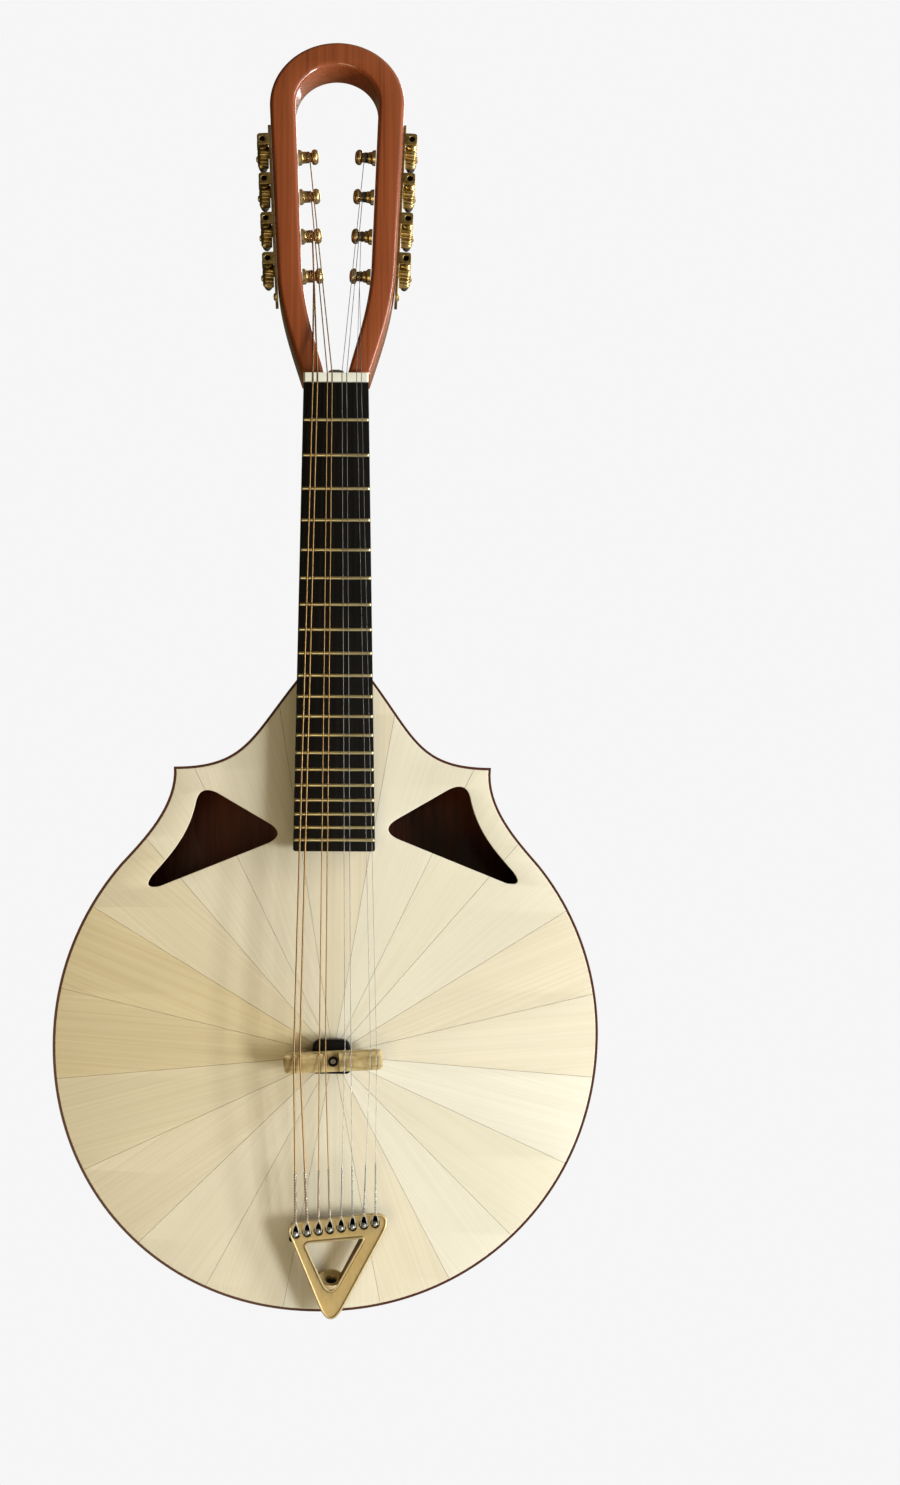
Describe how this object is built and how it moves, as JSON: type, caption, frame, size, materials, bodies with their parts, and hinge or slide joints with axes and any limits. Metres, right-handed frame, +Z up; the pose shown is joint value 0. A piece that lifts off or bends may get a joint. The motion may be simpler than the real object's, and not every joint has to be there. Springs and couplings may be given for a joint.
{
  "type": "mandolin",
  "caption": "Flat-backed mandolin with a round body, three-cornered sound holes, a pivoting bridge saddle and an open-loop head with side worm tuners.",
  "frame": {"origin": "on the centreline, in the plane of the soundboard's face, level with the nut's playing edge, where a wall hanger's yoke holds the neck under the head", "axes": "+Z up the neck towards the head, +Y out of the flat back, -Y out of the strings and soundboard, +X to the viewer's right when facing the strings"},
  "size_m": [0.293, 0.0829, 0.6964],
  "materials": {
    "spruce": "fine straight grain, satin lacquer",
    "mahogany": "reddish brown, satin gloss",
    "dark_mahogany": "dark reddish brown, satin",
    "ebony": "near black, oiled",
    "bone": "off-white, polished",
    "maple": "pale tan, oiled",
    "brass": "antique, polished with dark recesses",
    "satin_brass": "satin gold",
    "steel": "plain wire, polished",
    "bronze": "wound bronze wire",
    "black_steel": "blackened steel",
    "dark_knob": "polished, near black"
  },
  "bodies": {
    "instrument": {"soundboard": "spruce", "back_plate": "mahogany", "rim_left": "dark_mahogany", "lining_front_left": "mahogany", "lining_back_left": "mahogany", "rim_right": "dark_mahogany", "lining_front_right": "mahogany", "lining_back_right": "mahogany", "neck_block": "mahogany", "tail_block": "mahogany", "top_brace_upper": "spruce", "top_brace_lower": "spruce", "back_brace_upper": "spruce", "back_brace_lower": "spruce", "neck": "mahogany", "board_riser": "mahogany", "fretboard": "ebony", "nut": "bone", "truss_rod": "steel", "tuner_plate_left": "brass", "tuner_plate_right": "brass", "headstock_loop": "mahogany", "bridge_base": "ebony", "bridge_screw": "black_steel", "tailpiece": "satin_brass", "tailpiece_bolt": "black_steel", "string_g1": "bronze", "string_g2": "bronze", "string_d1": "bronze", "string_d2": "bronze", "string_a1": "steel", "string_a2": "steel", "string_e1": "steel", "string_e2": "steel"},
    "saddle": {"bridge_saddle": "maple"},
    "worm_left_1": {"worm_left_1": "brass", "button_left_1": "dark_knob"},
    "post_left_1": {"roller_left_1": "brass"},
    "worm_left_2": {"worm_left_2": "brass", "button_left_2": "dark_knob"},
    "post_left_2": {"roller_left_2": "brass"},
    "worm_left_3": {"worm_left_3": "brass", "button_left_3": "dark_knob"},
    "post_left_3": {"roller_left_3": "brass"},
    "worm_left_4": {"worm_left_4": "brass", "button_left_4": "dark_knob"},
    "post_left_4": {"roller_left_4": "brass"},
    "worm_right_1": {"worm_right_1": "brass", "button_right_1": "dark_knob"},
    "post_right_1": {"roller_right_1": "brass"},
    "worm_right_2": {"worm_right_2": "brass", "button_right_2": "dark_knob"},
    "post_right_2": {"roller_right_2": "brass"},
    "worm_right_3": {"worm_right_3": "brass", "button_right_3": "dark_knob"},
    "post_right_3": {"roller_right_3": "brass"},
    "worm_right_4": {"worm_right_4": "brass", "button_right_4": "dark_knob"},
    "post_right_4": {"roller_right_4": "brass"}
  },
  "joints": [
    {"name": "saddle_pivot", "type": "hinge", "parent": "instrument", "child": "saddle", "pos_m": [0, -0.013, -0.3618], "axis": [0, 1, 0], "range_deg": [-3, 3]},
    {"name": "worm_left_1_spin", "type": "hinge", "parent": "instrument", "child": "worm_left_1", "pos_m": [-0.03752, 0.02121, 0.06896], "axis": [0, -0.9659, 0.2588], "continuous": true},
    {"name": "post_left_1_turn", "type": "hinge", "parent": "instrument", "child": "post_left_1", "pos_m": [-0.03712, 0.01914, 0.06124], "axis": [0.9988, 0.0129, 0.0482], "continuous": true},
    {"name": "worm_left_2_spin", "type": "hinge", "parent": "instrument", "child": "worm_left_2", "pos_m": [-0.03871, 0.02736, 0.09192], "axis": [0, -0.9659, 0.2588], "continuous": true},
    {"name": "post_left_2_turn", "type": "hinge", "parent": "instrument", "child": "post_left_2", "pos_m": [-0.03831, 0.0253, 0.0842], "axis": [0.9988, 0.0129, 0.0482], "continuous": true},
    {"name": "worm_left_3_spin", "type": "hinge", "parent": "instrument", "child": "worm_left_3", "pos_m": [-0.0399, 0.03352, 0.11488], "axis": [0, -0.9659, 0.2588], "continuous": true},
    {"name": "post_left_3_turn", "type": "hinge", "parent": "instrument", "child": "post_left_3", "pos_m": [-0.0395, 0.03145, 0.10716], "axis": [0.9988, 0.0129, 0.0482], "continuous": true},
    {"name": "worm_left_4_spin", "type": "hinge", "parent": "instrument", "child": "worm_left_4", "pos_m": [-0.04108, 0.03967, 0.13784], "axis": [0, -0.9659, 0.2588], "continuous": true},
    {"name": "post_left_4_turn", "type": "hinge", "parent": "instrument", "child": "post_left_4", "pos_m": [-0.04068, 0.0376, 0.13012], "axis": [0.9988, 0.0129, 0.0482], "continuous": true},
    {"name": "worm_right_1_spin", "type": "hinge", "parent": "instrument", "child": "worm_right_1", "pos_m": [0.03752, 0.02121, 0.06896], "axis": [0, -0.9659, 0.2588], "continuous": true},
    {"name": "post_right_1_turn", "type": "hinge", "parent": "instrument", "child": "post_right_1", "pos_m": [0.03712, 0.01914, 0.06124], "axis": [0.9988, -0.0129, -0.0482], "continuous": true},
    {"name": "worm_right_2_spin", "type": "hinge", "parent": "instrument", "child": "worm_right_2", "pos_m": [0.03871, 0.02736, 0.09192], "axis": [0, -0.9659, 0.2588], "continuous": true},
    {"name": "post_right_2_turn", "type": "hinge", "parent": "instrument", "child": "post_right_2", "pos_m": [0.03831, 0.0253, 0.0842], "axis": [0.9988, -0.0129, -0.0482], "continuous": true},
    {"name": "worm_right_3_spin", "type": "hinge", "parent": "instrument", "child": "worm_right_3", "pos_m": [0.0399, 0.03352, 0.11488], "axis": [0, -0.9659, 0.2588], "continuous": true},
    {"name": "post_right_3_turn", "type": "hinge", "parent": "instrument", "child": "post_right_3", "pos_m": [0.0395, 0.03145, 0.10716], "axis": [0.9988, -0.0129, -0.0482], "continuous": true},
    {"name": "worm_right_4_spin", "type": "hinge", "parent": "instrument", "child": "worm_right_4", "pos_m": [0.04108, 0.03967, 0.13784], "axis": [0, -0.9659, 0.2588], "continuous": true},
    {"name": "post_right_4_turn", "type": "hinge", "parent": "instrument", "child": "post_right_4", "pos_m": [0.04068, 0.0376, 0.13012], "axis": [0.9988, -0.0129, -0.0482], "continuous": true}
  ],
  "couplings": [
    {"joint": "post_left_1_turn", "follows": "worm_left_1_spin", "ratio": -0.071429},
    {"joint": "post_left_2_turn", "follows": "worm_left_2_spin", "ratio": -0.071429},
    {"joint": "post_left_3_turn", "follows": "worm_left_3_spin", "ratio": -0.071429},
    {"joint": "post_left_4_turn", "follows": "worm_left_4_spin", "ratio": -0.071429},
    {"joint": "post_right_1_turn", "follows": "worm_right_1_spin", "ratio": -0.071429},
    {"joint": "post_right_2_turn", "follows": "worm_right_2_spin", "ratio": -0.071429},
    {"joint": "post_right_3_turn", "follows": "worm_right_3_spin", "ratio": -0.071429},
    {"joint": "post_right_4_turn", "follows": "worm_right_4_spin", "ratio": -0.071429}
  ]
}
